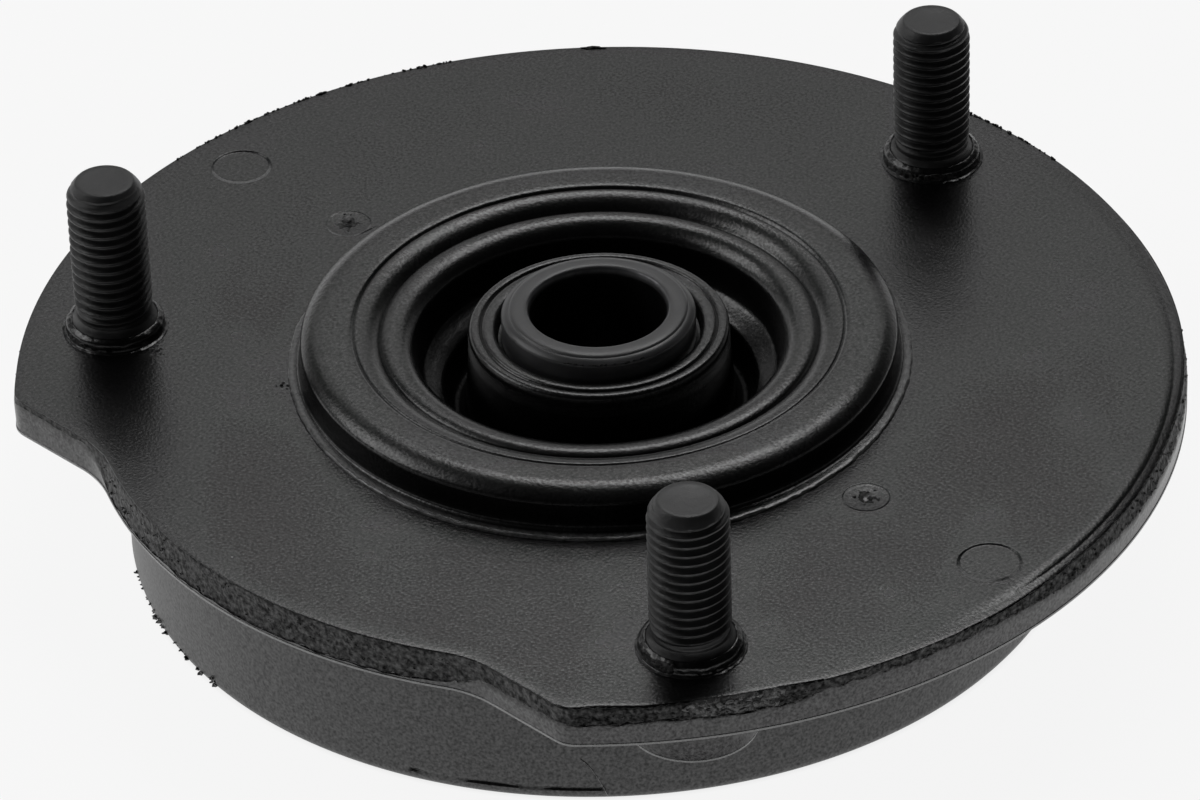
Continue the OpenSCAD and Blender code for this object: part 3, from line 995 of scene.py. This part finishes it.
for degrees, out, count, spread, least, greatest, is_pale in flange_scraps:
    middle = on_circle(math.radians(degrees), out, 0)
    for _ in range(count):
        place = middle + Vector((chance.gauss(0, spread), chance.gauss(0, spread), 0))
        lay_shred(place * mm, random_sizes(least, greatest), chance.uniform(0, 3), is_pale)
hair_path = bpy.data.curves.new("hair", "CURVE")
hair_path.dimensions = "3D"
hair_path.bevel_depth = hair_r
hair_path.bevel_resolution = 1
strand = hair_path.splines.new("POLY")
strand.points.add(hair_knots - 1)
for number, knot in enumerate(strand.points):
    share = number / (hair_knots - 1)
    sideways = share ** hair_power
    angle = math.radians(hair_angles[0] + (hair_angles[1] - hair_angles[0]) * sideways)
    height = hair_heights[0] + (hair_heights[1] - hair_heights[0]) * share
    knot.co = (*on_circle(angle, wall_r + hair_r, height), 1)
hair = bpy.data.objects.new("hair", hair_path)
bpy.context.scene.collection.objects.link(hair)
select_only([hair])
bpy.ops.object.convert(target="MESH")
for shape in shred_shapes:
    bpy.data.objects.remove(shape)
for shred in [hair] + pale_shreds:
    mark_points(shred, "pale", lambda point: shred_pale)
torn_flash = join_pieces("torn_flash", [hair] + pale_shreds + dark_shreds)
mark_points(torn_flash, "torn", lambda point: point.z >= smooth_below_z)
finish_piece(torn_flash, rubber, "rubber_body", shred_sharp_angle)

# Floor: a plain pale sheet that the mount stands on. The camera and reflections see it nearly white,
# and it keeps the mount's shadow.
floor_size = 40
floor_white = (0.86, 0.86, 0.86, 1)
floor_whitened = 0.9
floor_hidden_r = (0.05, 0.06)
floor_gap = 0.02 * mm
bpy.ops.object.select_all(action="DESELECT")
bpy.ops.mesh.primitive_plane_add(size=floor_size, location=(0, 0, floor_z - floor_gap))
floor = bpy.context.object
floor.name = "floor"
pale_floor = bpy.data.materials.new("pale_floor")
pale_floor.use_nodes = True
tree = pale_floor.node_tree
tree.nodes.clear()
sheet = tree.nodes.new("ShaderNodeBsdfDiffuse")
sheet.inputs["Color"].default_value = floor_white
glow = tree.nodes.new("ShaderNodeEmission")
glow.inputs["Color"].default_value = (1, 1, 1, 1)
ray = tree.nodes.new("ShaderNodeLightPath")
seen = combined(tree, "MAXIMUM", ray.outputs["Is Camera Ray"], ray.outputs["Is Glossy Ray"])
seen_or_through = combined(tree, "MAXIMUM", seen, ray.outputs["Is Transmission Ray"])
floor_point = tree.nodes.new("ShaderNodeTexCoord")
outward = tree.nodes.new("ShaderNodeVectorMath")
outward.operation = "LENGTH"
tree.links.new(floor_point.outputs["Object"], outward.inputs[0])
open_floor = between(tree, outward.outputs["Value"], 0, floor_whitened, *floor_hidden_r)
sheet_or_glow = tree.nodes.new("ShaderNodeMixShader")
whitened = combined(tree, "MULTIPLY", seen_or_through, open_floor)
tree.links.new(whitened, sheet_or_glow.inputs["Fac"])
tree.links.new(sheet.outputs["BSDF"], sheet_or_glow.inputs[1])
tree.links.new(glow.outputs["Emission"], sheet_or_glow.inputs[2])
floor_finish = tree.nodes.new("ShaderNodeOutputMaterial")
tree.links.new(sheet_or_glow.outputs["Shader"], floor_finish.inputs["Surface"])
floor.data.materials.append(pale_floor)

# Camera: a long lens that looks down on the mount from its front right, as in the photograph, with
# the picture's slight roll.
image_width = 1200
image_height = 800
sensor_width = 36
view_distance = 0.9
view_elevation = math.radians(34.75)
view_roll = math.radians(1.892)
view_turn = math.radians(45.331)
focal_pixels = 7224
axis_pixel = (599.8, 356.3)
turned = Matrix.Rotation(view_turn, 3, "Z")
forward = turned @ Vector((0, math.cos(view_elevation), -math.sin(view_elevation)))
level_right = turned @ Vector((1, 0, 0))
level_up = turned @ Vector((0, math.sin(view_elevation), math.cos(view_elevation)))
right = level_right * math.cos(view_roll) - level_up * math.sin(view_roll)
up = level_right * math.sin(view_roll) + level_up * math.cos(view_roll)
aside = (axis_pixel[0] - image_width / 2) / focal_pixels * view_distance
above = (image_height / 2 - axis_pixel[1]) / focal_pixels * view_distance
lens = bpy.data.cameras.new("camera")
lens.sensor_width = sensor_width
lens.lens = focal_pixels / image_width * sensor_width
camera = bpy.data.objects.new("camera", lens)
standing = Matrix((right, up, -forward)).transposed().to_4x4()
standing.translation = -right * aside - up * above - forward * view_distance
camera.matrix_world = standing
bpy.context.scene.collection.objects.link(camera)
bpy.context.scene.camera = camera
bpy.context.scene.view_settings.view_transform = "Standard"

# Light: a dim room with a pale band along its foot, which fades towards the camera's side. A wide
# soft box stands behind the part, a brighter one hangs higher behind it and a third stands at the
# left.
room_dim = 0.05
room_pale = 0.85
room_band = (0.06, 0.42)
room_front = 0.16
room_front_ends = (-0.2, 0.75)
room_back_azimuth = 40
soft_boxes = {
    # azimuth from behind the part and elevation in degrees, distance, size and radiance
    "box_behind": (0, 37, 1.3, (1.3, 0.62), 0.52),
    "box_high": (-14, 57, 1.1, (0.66, 0.34), 3.2),
    "box_left": (75, 42, 1.1, (0.6, 0.5), 1.9),
}


def level_way(azimuth):
    """Level direction at an azimuth from behind the part, as the camera sees it."""
    return Matrix.Rotation(math.radians(azimuth), 3, "Z") @ turned @ Vector((0, 1, 0))


def eased(tree, amount, low, high, start, end):
    """An amount that eases from one value to another."""
    result = between(tree, amount, low, high, start, end)
    result.node.interpolation_type = "SMOOTHSTEP"
    return result


world = bpy.data.worlds.new("room")
bpy.context.scene.world = world
world.use_nodes = True
tree = world.node_tree
room = tree.nodes["Background"]
room.inputs["Color"].default_value = (1, 1, 1, 1)
direction = tree.nodes.new("ShaderNodeTexCoord")
parts = tree.nodes.new("ShaderNodeSeparateXYZ")
tree.links.new(direction.outputs["Generated"], parts.inputs["Vector"])
facing = tree.nodes.new("ShaderNodeVectorMath")
facing.operation = "DOT_PRODUCT"
facing.inputs[1].default_value = level_way(room_back_azimuth)
tree.links.new(direction.outputs["Generated"], facing.inputs[0])
by_height = eased(tree, parts.outputs["Z"], room_pale, room_dim, *room_band)
by_side = eased(tree, facing.outputs["Value"], room_front, 1, *room_front_ends)
tree.links.new(combined(tree, "MULTIPLY", by_height, by_side), room.inputs["Strength"])
for name, (azimuth, elevation, distance, size, radiance) in soft_boxes.items():
    lamp = bpy.data.lights.new(name, "AREA")
    lamp.shape = "RECTANGLE"
    lamp.size, lamp.size_y = size
    lamp.energy = radiance * math.pi * size[0] * size[1]
    raised = math.radians(elevation)
    place = (level_way(azimuth) * math.cos(raised) + Vector((0, 0, math.sin(raised)))) * distance
    box = bpy.data.objects.new(name, lamp)
    box.location = place
    box.rotation_euler = (-place).to_track_quat("-Z", "Y").to_euler()
    bpy.context.scene.collection.objects.link(box)
